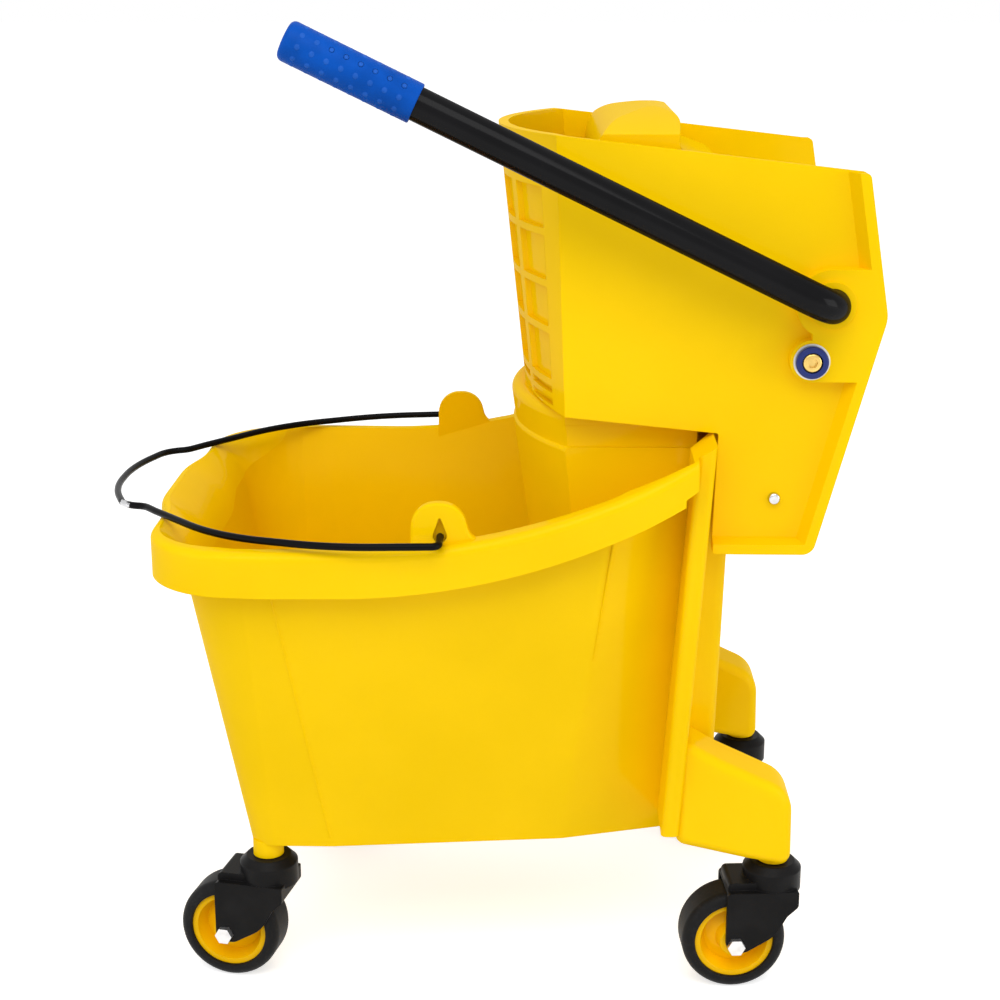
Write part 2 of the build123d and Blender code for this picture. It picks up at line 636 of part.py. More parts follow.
def caster_fork():
    """Moulded fork: round collar, two cheeks and a hood over the wheel."""
    top = WHEEL_D + FORK_TOP_UP
    lower = [(x - TRAIL, WHEEL_R + z) for x, z in FORK_OUTLINE]
    nose_x = lower[0][0]
    points = lower + [(lower[-1][0], top), (nose_x, top)]
    side = rounded(points, [*FORK_ROUNDS, COLLAR_EDGE, FORK_TOP_UP])
    body = side_plate(side, -FORK_W / 2, FORK_W / 2)
    hood_top = WHEEL_D + HOOD_GAP + HOOD_T
    hood_foot = top - HOOD_SINK
    hood_points = [(nose_x + 1, hood_foot), (0, hood_foot), (0, hood_top), (nose_x + 1, hood_top)]
    hood = side_plate(rounded(hood_points, [COLLAR_EDGE] * 3 + [HOOD_T / 2]), -TYRE_W / 2, TYRE_W / 2)
    collar = upright(COLLAR_D / 2, COLLAR_RISE, WHEEL_D)
    collar = chamfer(collar.edges().group_by(Axis.Z)[-1], COLLAR_BEVEL)
    collar = fillet(collar.edges().filter_by(GeomType.CIRCLE).group_by(Axis.Z)[-2], COLLAR_EDGE)
    well = on_axle(disc_y(WHEEL_R + HOOD_GAP, -TYRE_W / 2 - SIDE_GAP, TYRE_W / 2 + SIDE_GAP, 0, 0))
    bore = upright(STEM_D / 2 + RUN_GAP, CASTER_H, CASTER_H - STEM_INTO_FORK - SEAT_GAP)
    axle = on_axle(disc_y(AXLE_D / 2 + RUN_GAP, -FORK_W, FORK_W, 0, 0))
    return body + hood + collar - well - bore - axle


def axle_bolt():
    """Hexagon bolt through the fork, head on the left."""
    face = FORK_W / 2
    shank = disc_y(AXLE_D / 2, -face, face + NUT_H + BOLT_END, 0, 0)
    head = hexagon_y(HEX_AF, -face - BOLT_HEAD_H, -face, 0, 0)
    return on_axle(shank + head)


def axle_nut():
    """Nut on the axle bolt's right end."""
    face = FORK_W / 2
    nut = hexagon_y(HEX_AF, face, face + NUT_H, 0, 0)
    return on_axle(nut - disc_y(AXLE_D / 2 + RUN_GAP, 0, 2 * face, 0, 0))


def axle_bush():
    """Sleeve between the cheeks that the hub turns on."""
    half = TYRE_W / 2 + SIDE_GAP
    sleeve = disc_y(BUSH_D / 2, -half, half, 0, 0) - disc_y(AXLE_D / 2 + RUN_GAP, -half - 1, half + 1, 0, 0)
    return on_axle(sleeve)


def wheel_ring(outline):
    """Ring about the axle from an outline given as (radius, distance across)."""
    return on_axle(revolve(outline, Axis.Y))


def wheel_hub():
    """Dished hub with a rim ring, a web and a boss."""
    outer = WHEEL_R - TYRE_T - RUN_GAP
    rim_in = outer - HUB_RIM_T
    boss_r = HUB_BOSS_D / 2
    bore = BUSH_D / 2 + RUN_GAP
    boss_half = TYRE_W / 2
    half = HUB_W / 2
    web = HUB_WEB_T / 2
    right = [
        (boss_r, boss_half),
        (boss_r + HUB_BOSS_RUN, web + HUB_BOSS_FOOT),
        (rim_in - HUB_RIM_RUN, web),
        (rim_in, half),
        (outer, half),
    ]
    left = [(r, -y) for r, y in reversed(right)]
    return wheel_ring(polygon([(bore, boss_half)] + right + left + [(bore, -boss_half)]))


def wheel_tyre():
    """Tread ring with rounded shoulders."""
    inner = WHEEL_R - TYRE_T
    half = TYRE_W / 2
    points = [(inner, -half), (WHEEL_R, -half), (WHEEL_R, half), (inner, half)]
    return wheel_ring(rounded(points, [TYRE_EDGE, TYRE_ROUND, TYRE_ROUND, TYRE_EDGE]))


# Bail


def bail_wire():
    """Bent wire from ear to ear, lying forward on the rim."""
    face = EAR_Y + EAR_T / 2
    end_in = face - EAR_T + EAR_WEB + 2 * BAIL_HOLE_GAP
    arm_y = face + BAIL_OUT
    lean = (BAIL_HOLE_UP - WIRE_D / 2 - BAIL_OVER_RIM) / (RIM_LENGTH + BAND_FRONT_OUT - EAR_AHEAD)
    plan = [(0, -end_in), (0, -arm_y)]
    plan += [(-share * BAIL_REACH, inside - arm_y) for share, inside in BAIL_ARM]
    plan += [(back - BAIL_REACH, -half) for back, half in BAIL_CROOK]
    left = [(EAR_X + x, y, BAIL_Z + x * lean) for x, y in plan]
    right = [(x, -y, z) for x, y, z in reversed(left)]
    bends = [BAIL_BEND, *[share * BAIL_REACH for share in BAIL_ARM_BENDS], *BAIL_CROOK_BENDS]
    path = FilletPolyline(*(left + right), radius=bends + bends[::-1])
    return sweep(Plane(origin=path @ 0, z_dir=path % 0) * Circle(WIRE_D / 2), path=path)


# Wringer housing


def front_edge(z):
    """Panel's front edge at height z and the front wall's bow there."""
    foot_x, foot_z = above_rim(FRONT_FOOT)
    top_x, top_z = above_rim(FRONT_TOP)
    share = (z - foot_z) / (top_z - foot_z)
    return blend(foot_x, top_x, share), blend(FOOT_BULGE, TOP_BULGE, share)


def bowed_plan(z, edge_x, bulge, half_width, rear_x):
    """Plan face with a bowed front edge, straight sides and a straight back."""
    left = (edge_x, -half_width)
    right = (edge_x, half_width)
    bow = ThreePointArc(left, (edge_x - bulge, 0), right)
    back = Polyline(right, (rear_x, half_width), (rear_x, -half_width), left)
    return Pos(0, 0, z) * make_face(bow + back)


def hopper_form(grow, half_width, rear_x):
    """Solid inside the hopper's bowed front, grown forwards by grow."""
    heights = (above_rim(FRONT_FOOT)[1] - TOP_BULGE / 2, above_rim(FRONT_TOP)[1] + TOP_BULGE / 2)
    faces = []
    for z in heights:
        edge_x, bulge = front_edge(z)
        faces.append(bowed_plan(z, edge_x - grow, bulge, half_width, rear_x))
    return loft(faces)


def sleeve_form(grow):
    """Solid inside the sleeve's outline, grown outwards by grow."""
    top_z = above_rim(FRONT_FOOT)[1] - SLEEVE_DROP + grow
    low_z = REAR_Z - SLEEVE_DEPTH + grow
    half = SLEEVE_HALF_W + grow
    edge = FRONT_FOOT[0] - grow
    rear_x = -SLEEVE_REAR + grow
    top = bowed_plan(top_z, edge, SLEEVE_BULGE, half, rear_x)
    low = bowed_plan(low_z, edge + SLEEVE_FRONT_TAPER, SLEEVE_LOW_BULGE, half - SLEEVE_TAPER, rear_x)
    return loft([low, top])


def panel_corners():
    """Side panel's corners in side view, from the front foot round by the top."""
    tail_front = [(TAIL_EDGE_LOW, TAIL_REAR[1]), (TAIL_EDGE_TOP, SEAT_GAP)]
    points = [FRONT_FOOT, FRONT_TOP, REAR_TOP, REAR_KNEE, TAIL_REAR] + tail_front
    return [above_rim(p) for p in points]


def panel_face():
    """Side panel's outline with its corners rounded."""
    return rounded(panel_corners(), PANEL_ROUNDS)


def lip_strip(slope, y):
    """Strip along the panel's rear edge and foot, widened by slope, at distance y across."""
    width = LIP_W + slope
    foot = LIP_W + slope / 3
    rear = [REAR_TOP, REAR_KNEE, TAIL_REAR, (TAIL_EDGE_LOW, TAIL_REAR[1])]
    inner = [
        (TAIL_EDGE_LOW, TAIL_REAR[1] + foot),
        (TAIL_REAR[0] - width * 0.75, TAIL_REAR[1] + foot),
        (REAR_KNEE[0] - width, REAR_KNEE[1]),
        (REAR_TOP[0] - width, REAR_TOP[1]),
    ]
    return Plane.XZ.offset(y) * polygon([above_rim(p) for p in rear + inner])


def bearing_pad():
    """Raised pad round the lever's bush and the tie bolt on the left panel."""
    pivot = above_rim(LEVER_PIVOT)
    tie = above_rim(TIE_BOLT)
    back_x = REAR_KNEE[0]
    upper = Pos((pivot[0] + back_x) / 2, pivot[1]) * Rectangle(back_x - pivot[0], 2 * PAD_R)
    lower_h = 2 * PAD_TIE_R + PAD_LAP
    lower = Rectangle(back_x - tie[0], lower_h)
    lower = Pos((tie[0] + back_x) / 2, tie[1] - PAD_TIE_R + lower_h / 2) * lower
    face = Pos(*pivot) * Circle(PAD_R) + upper + Pos(*tie) * Circle(PAD_TIE_R) + lower
    inside = side_plate(panel_face(), -LIP_Y, -PANEL_IN)
    return side_plate(face, -LIP_Y, -PANEL_HALF_W) & inside


def front_pockets():
    """Shallow pockets in the front wall, in rows and columns."""
    skin = hopper_form(1, PANEL_HALF_W, 0) - hopper_form(-POCKET_DEPTH, PANEL_HALF_W, 1)
    pockets = []
    for low, high in zip(POCKET_ROWS, POCKET_ROWS[1:]):
        height = high - low - POCKET_RIB
        z = REAR_Z + (low + high) / 2
        for y_from, y_to in POCKET_COLUMNS:
            block = Box(3 * RIM_LENGTH, y_to - y_from, height)
            pocket = skin & (Pos(0, (y_from + y_to) / 2, z) * block)
            pockets += [pocket, mirror(pocket, about=Plane.XZ)]
    return pockets


def front_wall():
    """Bowed front wall of the hopper with its pockets."""
    ahead = 2 * TOP_BULGE
    corners = panel_corners()
    (foot_x, foot_z), (top_x, top_z) = corners[:2]
    outline = [(foot_x - ahead, foot_z), (top_x - ahead, top_z), (top_x, top_z)] + corners[2:]
    trim = side_plate(polygon(outline), -LIP_Y, LIP_Y)
    wall = hopper_form(0, PANEL_HALF_W, 0) - hopper_form(-FRONT_T, PANEL_IN, 1)
    wall &= trim
    for pocket in front_pockets():
        wall -= pocket
    return wall


def housing_sleeve():
    """Sleeve that stands in the bucket, with the neck and the ledge that carry it."""
    hollow = sleeve_form(-SLEEVE_T)
    drain = Pos(0, 0, -SLEEVE_T) * hollow
    bead = sleeve_form(0)
    bead = fillet(bead.faces().sort_by(Axis.Z)[-1].edges().filter_by(GeomType.CIRCLE), SHOULDER_ROUND)
    skirt = sleeve_form(SKIRT_OUT) & below(above_rim(FRONT_FOOT)[1] - SLEEVE_DROP - BEAD_H)
    skirt = fillet(skirt.faces().sort_by(Axis.Z)[-1].edges().sort_by(Axis.X)[0], SKIRT_ROUND)
    mouth = hopper_form(-FRONT_T, SLEEVE_HALF_W - SLEEVE_T, -SLEEVE_REAR - SLEEVE_T)
    foot_z = above_rim(FRONT_FOOT)[1]
    neck = hopper_form(0, SLEEVE_HALF_W, -SLEEVE_REAR)
    neck &= Pos(0, 0, foot_z - SLEEVE_DROP) * Box(3 * RIM_LENGTH, 2 * LIP_Y, 2 * SLEEVE_DROP + SADDLE_T)
    low = [(FRONT_FOOT[0] - TOP_BULGE, FRONT_FOOT[1]), FRONT_FOOT]
    low += [(TAIL_EDGE_TOP, SEAT_GAP), (TAIL_WALL, SEAT_GAP)]
    high = [(x, z + SADDLE_T) for x, z in reversed(low)]
    ledge = side_plate(polygon([above_rim(p) for p in low + high]), -PANEL_IN, PANEL_IN)
    ledge &= hopper_form(0, PANEL_HALF_W, TAIL_WALL)
    return bead + skirt + neck + ledge - hollow - drain - mouth


def housing_tail():
    """Walls of the tail pocket behind the bucket: front, floor and low back."""
    tail_z = TAIL_REAR[1]
    slope = (REAR_KNEE[0] - TAIL_REAR[0]) / (REAR_KNEE[1] - tail_z)
    back_x = TAIL_REAR[0] + (BACK_TOP - tail_z) * slope
    inner = TAIL_WALL + PANEL_T
    saddle_z = SEAT_GAP + SADDLE_T
    outlines = [
        [(TAIL_WALL, tail_z), (inner, tail_z), (inner, saddle_z), (TAIL_WALL, saddle_z)],
        [(TAIL_WALL, tail_z), TAIL_REAR, (TAIL_REAR[0], tail_z + PANEL_T), (TAIL_WALL, tail_z + PANEL_T)],
        [TAIL_REAR, (back_x, BACK_TOP), (back_x - PANEL_T, BACK_TOP), (TAIL_REAR[0] - PANEL_T, tail_z)],
    ]
    faces = [polygon([above_rim(p) for p in outline]) for outline in outlines]
    return [side_plate(face, -PANEL_IN, PANEL_IN) for face in faces]


def wringer_housing():
    """The moulded wringer frame: panels, front wall, sleeve, saddle and tail."""
    panel = side_plate(panel_face(), -PANEL_HALF_W, -PANEL_IN)
    lips = loft([lip_strip(LIP_RUN, PANEL_HALF_W), lip_strip(0, LIP_Y)])
    lips &= side_plate(panel_face(), -LIP_Y, -PANEL_IN)
    sides = both_sides(panel + lips + bearing_pad())
    housing = sides + front_wall() + housing_sleeve() + housing_tail()
    for (x, z), radius in (
        (above_rim(LEVER_PIVOT), TUBE_D / 2 + BUSH_WALL + RUN_GAP),
        (above_rim(TIE_BOLT), TIE_D / 2 + RUN_GAP),
        (above_rim(PRESS_HINGE), HINGE_PIN_D / 2 + RUN_GAP),
    ):
        housing -= disc_y(radius, -2 * LIP_Y, 2 * LIP_Y, x, z)
    return housing


def pivot_bush():
    """Flanged bush for the lever's shaft in the left panel."""
    x, z = above_rim(LEVER_PIVOT)
    bore = TUBE_D / 2 + RUN_GAP
    sleeve = disc_y(bore + BUSH_WALL - RUN_GAP, -LIP_Y, -PANEL_IN, x, z)
    flange = disc_y(BUSH_FLANGE_D / 2, -LIP_Y - BUSH_FLANGE_T, -LIP_Y, x, z)
    return sleeve + flange - disc_y(bore, -2 * LIP_Y, 0, x, z)


def tie_bolt():
    """Socket-head bolt across the housing, head on the left."""
    x, z = above_rim(TIE_BOLT)
    left = LIP_Y + TIE_WASHER_T
    end = LIP_Y + TIE_WASHER_T + TIE_NUT_H + BOLT_END
    head = disc_y(TIE_HEAD_D / 2, -left - TIE_HEAD_H, -left, x, z)
    head = fillet(head.edges().group_by(Axis.Y)[0], TIE_HEAD_H / 2)
    socket = hexagon_y(TIE_SOCKET_AF, -left - TIE_HEAD_H, -left - TIE_HEAD_H / 3, x, z)
    return head - socket + disc_y(TIE_D / 2, -left, end, x, z)


def tie_cup():
    """Plastic cup ring round the tie bolt's head."""
    x, z = above_rim(TIE_BOLT)
    face = LIP_Y + TIE_WASHER_T
    ring = disc_y(TIE_CUP_D / 2, -face - TIE_CUP_T, -face, x, z)
    ring = fillet(ring.edges().group_by(Axis.Y)[0], TIE_CUP_T / 3)
    return ring - disc_y(TIE_HEAD_D / 2 + RUN_GAP, -2 * face, 0, x, z)


def tie_nut():
    """Nut on the tie bolt's right end."""
    x, z = above_rim(TIE_BOLT)
    face = LIP_Y + TIE_WASHER_T
    nut = hexagon_y(TIE_NUT_AF, face, face + TIE_NUT_H, x, z)
    return nut - disc_y(TIE_D / 2 + RUN_GAP, 0, 2 * face, x, z)


def tie_washers():
    """Flat washers under the tie bolt's head and nut."""
    x, z = above_rim(TIE_BOLT)
    ring = disc_y(TIE_WASHER_D / 2, -LIP_Y - TIE_WASHER_T, -LIP_Y, x, z)
    ring -= disc_y(TIE_D / 2 + RUN_GAP, -2 * LIP_Y, 0, x, z)
    return [ring, mirror(ring, about=Plane.XZ)]


def hinge_pin():
    """Plain pin across the tail that the press turns on."""
    x, z = above_rim(PRESS_HINGE)
    half = PANEL_HALF_W + PIN_CAP_T - PIN_CAP_END
    return disc_y(HINGE_PIN_D / 2, -half, half, x, z)


def hinge_pin_caps():
    """Push-on caps over the pin's ends."""
    x, z = above_rim(PRESS_HINGE)
    cap = disc_y(PIN_CAP_D / 2, -PANEL_HALF_W - PIN_CAP_T, -PANEL_HALF_W, x, z)
    cap = fillet(cap.edges().group_by(Axis.Y)[0], PIN_CAP_T / 2)
    cap -= disc_y(HINGE_PIN_D / 2 + RUN_GAP, -PANEL_HALF_W - PIN_CAP_T + PIN_CAP_END, 0, x, z)
    return [cap, mirror(cap, about=Plane.XZ)]


# Lever, cranks and press


def lever_point(along, y):
    """Point on the lever's axis at a distance from the pivot."""
    x, z = above_rim(LEVER_PIVOT)
    slope = radians(LEVER_REST)
    return (x - along * cos(slope), y, z + along * sin(slope))


def lever_tube():
    """Steel tube: cross shaft, bend and lever arm."""
    far_y = LIP_Y + BUSH_FLANGE_T + SHAFT_GAP + SHAFT_CAP_T - SHAFT_CAP_END
    corners = [lever_point(0, far_y), lever_point(0, -LEVER_Y), lever_point(LEVER_LEN, -LEVER_Y)]
    path = FilletPolyline(*corners, radius=TUBE_BEND)
    start = Plane(origin=path @ 0, z_dir=path % 0)
    outside = sweep(start * Circle(TUBE_D / 2), path=path)
    return outside - sweep(start * Circle(TUBE_D / 2 - TUBE_WALL), path=path)


def along_lever():
    """Plane square to the lever's arm at its free end, looking outwards."""
    start = Vector(*lever_point(LEVER_LEN, -LEVER_Y))
    return Plane(origin=start, z_dir=start - Vector(*lever_point(0, -LEVER_Y)))


def lever_grip():
    """Sleeve on the lever's end with a closed, rounded tip."""
    sleeve = upright(GRIP_D / 2, GRIP_LEN, GRIP_END_T - GRIP_LEN)
    sleeve = fillet(sleeve.edges().group_by(Axis.Z)[-1], GRIP_END_T * 0.8)
    sleeve = fillet(sleeve.edges().group_by(Axis.Z)[0], GRIP_END_T * 0.3)
    hole = upright(TUBE_D / 2 + RUN_GAP, GRIP_LEN, -GRIP_LEN)
    return along_lever() * (sleeve - hole)


def shaft_cap():
    """Retainer over the shaft's right end."""
    x, z = above_rim(LEVER_PIVOT)
    face = LIP_Y + BUSH_FLANGE_T + SHAFT_GAP
    cap = disc_y(SHAFT_CAP_D / 2, face, face + SHAFT_CAP_T, x, z)
    cap = fillet(cap.edges().group_by(Axis.Y)[-1], SHAFT_CAP_ROUND)
    return cap - disc_y(TUBE_D / 2 + RUN_GAP, 0, face + SHAFT_CAP_T - SHAFT_CAP_END, x, z)


def crank_point(turn):
    """Crank pin's centre in side view when the lever has turned by the given degrees."""
    x, z = above_rim(LEVER_PIVOT)
    angle = radians(CRANK_REST - turn)
    return x + CRANK_R * cos(angle), z + CRANK_R * sin(angle)


def crank_arm():
    """Flat arm on the shaft, inside the left panel."""
    x, z = above_rim(LEVER_PIVOT)
    tip = crank_point(0)
    face = make_hull((Pos(x, z) * Circle(CRANK_EYE)).edges() + (Pos(*tip) * Circle(CRANK_TIP)).edges())
    arm = side_plate(face, -CRANK_Y - CRANK_T, -CRANK_Y)
    arm -= disc_y(TUBE_D / 2 + RUN_GAP, -LIP_Y, 0, x, z)
    return arm - disc_y(CRANK_PIN_D / 2 + RUN_GAP, -LIP_Y, 0, *tip)


def crank_pin():
    """Stud in the left arm that runs in the press's cam slot."""
    inner = PRESS_HALF_W - CHEEK_WALL - 2
    return disc_y(CRANK_PIN_D / 2, -CRANK_Y - CRANK_T - 1, -inner, *crank_point(0))


def cam_point(turn):
    """Crank pin's centre as seen from the press, for a turn of the lever."""
    hinge_x, hinge_z = above_rim(PRESS_HINGE)
    pin_x, pin_z = crank_point(turn)
    back = radians(PRESS_RATIO * turn)
    dx = pin_x - hinge_x
    dz = pin_z - hinge_z
    return hinge_x + dx * cos(back) - dz * sin(back), hinge_z + dx * sin(back) + dz * cos(back)


def cam_side(turn, offset):
    """Point beside the cam's centre line."""
    step = 0.5
    x1, z1 = cam_point(turn - step)
    x2, z2 = cam_point(turn + step)
    run = sqrt((x2 - x1) ** 2 + (z2 - z1) ** 2)
    x, z = cam_point(turn)
    return x - offset * (z2 - z1) / run, z + offset * (x2 - x1) / run


def cam_slot():
    """Slot that keeps the press's turn a fixed share of the lever's."""
    half = CRANK_PIN_D / 2 + CAM_GAP
    turns = [LEVER_RANGE * i / 6 for i in range(7)]
    left = Spline(*[cam_side(t, half) for t in turns])
    right = Spline(*[cam_side(t, -half) for t in reversed(turns)])
    face = make_face(left + Line(left @ 1, right @ 0) + right + Line(right @ 1, left @ 0))
    ends = [Pos(*cam_point(t)) * Circle(half) for t in (turns[0], turns[-1])]
    return [face] + ends


def press_outline():
    """Cheek's outline in side view with its hinge eye."""
    hinge_x, hinge_z = PRESS_HINGE
    points = [
        (hinge_x - BARREL_R + 1, hinge_z),
        (TAIL_WALL + PANEL_T + CROTCH[0], CROTCH[1]),
        PRESS_FOOT,
        PRESS_FRONT,
        PRESS_PEAK,
        PRESS_BACK,
        PRESS_NECK,
        (CHEEK_BACK, CHEEK_TOP_UP),
        (CHEEK_BACK, CHEEK_WAIST_UP),
        (CHEEK_BACK + CHEEK_FOOT_BACK, CHEEK_FOOT_UP),
        (hinge_x + BARREL_R - 1, hinge_z),
    ]
    return rounded([above_rim(p) for p in points], PRESS_ROUNDS)


def under_crown(drop):
    """Everything under the press's crowned top, lowered by drop."""
    ends_z = above_rim(PRESS_PEAK)[1] - PRESS_CROWN - drop
    arch = ThreePointArc((-PRESS_HALF_W, ends_z), (0, ends_z + PRESS_CROWN), (PRESS_HALF_W, ends_z))
    sides = Polyline((PRESS_HALF_W, ends_z), (PRESS_HALF_W, 0), (-PRESS_HALF_W, 0), (-PRESS_HALF_W, ends_z))
    return extrude(Plane.YZ * make_face(arch + sides), 2 * RIM_LENGTH, both=True)


def press_plate():
    """Hollow wedge that squeezes the mop: front plate, cap, cheeks and hinge barrel."""
    hinge_x, hinge_z = above_rim(PRESS_HINGE)
    outline = press_outline()
    skin = Pos(PRESS_T, -PRESS_T) * outline
    inside = PRESS_HALF_W - CHEEK_WALL
    whole = side_plate(outline, -PRESS_HALF_W, PRESS_HALF_W) & under_crown(0)
    hollow = side_plate(skin, -inside, inside) & under_crown(PRESS_T)
    behind = side_plate(Pos(PRESS_HALF_W, 0) * outline, -inside, inside)
    press = whole - hollow - behind
    press += disc_y(BARREL_R, -PRESS_HALF_W, PRESS_HALF_W, hinge_x, hinge_z)
    for face in cam_slot():
        press -= side_plate(face, -2 * PRESS_HALF_W, 2 * PRESS_HALF_W)
    return press - disc_y(HINGE_PIN_D / 2 + RUN_GAP, -LIP_Y, LIP_Y, hinge_x, hinge_z)


def mirrored(solid):
    """The same piece on the right-hand side."""
    return mirror(solid, about=Plane.XZ)


def all_parts():
    """Every node's solids by name."""
    stem = caster_stem()
    pin = crank_pin()
    nodes = {
        "bucket_tub": bucket_tub(),
        "caster_stems": [at_caster(name, stem) for name in STEMS],
        "bail_wire": bail_wire(),
        "wringer_housing": wringer_housing(),
        "pivot_bush_left": pivot_bush(),
        "pivot_bush_right": mirrored(pivot_bush()),
        "tie_bolt": tie_bolt(),
        "tie_cup": tie_cup(),
        "tie_nut": tie_nut(),
        "tie_washers": tie_washers(),
        "hinge_pin": hinge_pin(),
        "hinge_pin_caps": hinge_pin_caps(),
        "lever_tube": lever_tube(),
        "lever_grip": lever_grip(),
        "shaft_cap": shaft_cap(),
        "crank_arm_left": crank_arm(),
        "crank_arm_right": mirrored(crank_arm()),
        "crank_pins": [pin, mirrored(pin)],
        "press_plate": press_plate(),
    }
    pieces = {
        "fork": caster_fork(),
        "axle_bolt": axle_bolt(),
        "axle_nut": axle_nut(),
        "axle_bush": axle_bush(),
        "hub": wheel_hub(),
        "tyre": wheel_tyre(),
    }
    for name in STEMS:
        for piece, solid in pieces.items():
            nodes[f"{name}_{piece}"] = at_caster(name, solid)
    return nodes


def write_parts():
    """Write one STEP file for each node, with X = 0 at the middle of the length."""
    os.makedirs("parts", exist_ok=True)
    for name, solids in all_parts().items():
        group = solids if isinstance(solids, list) else [solids]
        placed = [Pos(-MIDDLE_X, 0, 0) * solid for solid in group]
        flat = [solid for shape in placed for solid in shape.solids()]
        export_step(flat[0] if len(flat) == 1 else Compound(children=flat), f"parts/{name}.step")


if __name__ == "__main__":
    write_parts()
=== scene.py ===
"""Looks of a mop bucket trolley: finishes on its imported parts, a dotted grip, a pale stage and a camera."""

import json
import math

import bmesh
import bpy
from bpy.props import FloatProperty, FloatVectorProperty, IntProperty, PointerProperty
from mathutils import Matrix, Vector


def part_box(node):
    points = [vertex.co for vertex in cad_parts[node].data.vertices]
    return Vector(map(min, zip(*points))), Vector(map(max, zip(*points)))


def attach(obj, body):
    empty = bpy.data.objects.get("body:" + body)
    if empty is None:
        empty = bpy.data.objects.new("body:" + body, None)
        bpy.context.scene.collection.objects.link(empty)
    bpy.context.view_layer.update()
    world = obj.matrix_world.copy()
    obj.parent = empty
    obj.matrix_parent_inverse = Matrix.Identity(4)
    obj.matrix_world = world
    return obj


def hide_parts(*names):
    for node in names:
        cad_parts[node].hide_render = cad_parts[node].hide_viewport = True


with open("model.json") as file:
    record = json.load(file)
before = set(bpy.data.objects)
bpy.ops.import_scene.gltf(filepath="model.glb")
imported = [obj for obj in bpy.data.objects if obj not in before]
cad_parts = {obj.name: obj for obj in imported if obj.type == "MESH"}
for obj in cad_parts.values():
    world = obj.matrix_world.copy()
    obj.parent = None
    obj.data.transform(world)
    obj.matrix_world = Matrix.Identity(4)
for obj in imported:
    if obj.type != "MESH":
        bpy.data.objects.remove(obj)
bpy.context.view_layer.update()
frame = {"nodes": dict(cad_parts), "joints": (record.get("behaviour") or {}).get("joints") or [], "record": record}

bl_info = {
    "name": "Mop bucket trolley",
    "version": (1, 0, 0),
    "blender": (4, 5, 0),
    "location": "3D View > Sidebar > Trolley",
    "description": "Finishes and stage for a mop bucket on casters with a lever wringer",
    "category": "Object",
}

JOINTS = {joint["name"]: joint for joint in frame["joints"]}
SLOT_NODES = {}
for entry in frame["record"]["subparts"]:
    SLOT_NODES.setdefault(entry["material_slot"], []).append(entry["node"])

# Worn bend of the bail: how far behind the wire's front, where across, how far above the wire's foot
WORN_BACK = 0.017
WORN_Y = -0.078
WORN_UP = 0.003

# Fineness of the grip's mesh, and how its dots sit
SLEEVE_STEPS = 64
TIP_STEPS = 6
TIP_ROUND = 0.8       # share of the tip that is rounded
DOT_SEGMENTS = 12
DOT_RINGS = 8
DOT_FLATNESS = 0.42   # height of a dot against its radius
DOT_SINK = 0.25       # share of its radius that a dot's middle lies under the sleeve's skin

# Lamps, all turned to one point: name, place, width and height, watts
LAMP_TARGET = Vector((0.0, 0.0, 0.32))
LAMPS = (
    ("key", (-1.6, -1.6, 1.5), (1.4, 1.4), 4.0),
    ("front", (0.0, -1.6, 2.3), (2.2, 1.6), 30.0),
    ("right", (2.0, -1.0, 0.6), (1.2, 1.0), 9.0),
    ("left", (-1.9, -0.9, 0.6), (1.2, 1.0), 3.5),
)
WHITE = (1.0, 1.0, 1.0, 1.0)
SENSOR_WIDTH = 36.0
FARTHEST_SEEN = 200.0


def colour_property(name, description, default):
    """A colour that a user may change."""
    return FloatVectorProperty(
        name=name, description=description, subtype="COLOR", size=3, min=0.0, max=1.0, default=default
    )


def length_property(name, description, default):
    """A length in metres that a user may change."""
    return FloatProperty(name=name, description=description, unit="LENGTH", default=default)


def angle_property(name, description, default):
    """An angle that a user may change."""
    return FloatProperty(name=name, description=description, subtype="ANGLE", default=default)


class TrolleyColours(bpy.types.PropertyGroup):
    """Colours of the trolley's materials."""

    body: colour_property("Body yellow", "Moulded bucket, wringer and press", (0.95, 0.6, 0.001))
    hub: colour_property("Hub yellow", "Caster hubs", (0.93, 0.52, 0.001))
    grip: colour_property("Grip blue", "Sleeve on the lever's end", (0.0025, 0.07, 0.39))
    cup: colour_property("Cup blue", "Ring round the tie bolt's head", (0.006, 0.02, 0.16))
    fork: colour_property("Fork black", "Caster forks and the shaft's cap", (0.006, 0.0058, 0.006))
    tread: colour_property("Tread black", "Caster tyres", (0.0085, 0.0085, 0.009))
    paint: colour_property("Paint black", "Lever tube and bail", (0.0035, 0.0034, 0.004))
    steel: colour_property("Bare steel", "Zinc plate and worn wire", (0.62, 0.62, 0.63))
    gold: colour_property("Passivate", "Tie bolt", (0.78, 0.53, 0.16))


class GripSizes(bpy.types.PropertyGroup):
    """Sizes of the sleeve on the lever's end."""

    radius: length_property("Radius", "Sleeve's outside between its dots", 0.0131)
    bore: length_property("Bore", "Inside radius, over the tube", 0.01105)
    edge: length_property("Edge", "Bevel of the open end", 0.0006)
    wall: length_property("Tip", "Rubber beyond the tube's end", 0.005)
    dot: length_property("Dot", "Radius of each raised dot", 0.0021)
    pitch: length_property("Pitch", "Distance between dots along the lever", 0.0098)
    rows: IntProperty(name="Rows", description="Rows of dots round the sleeve", default=10)


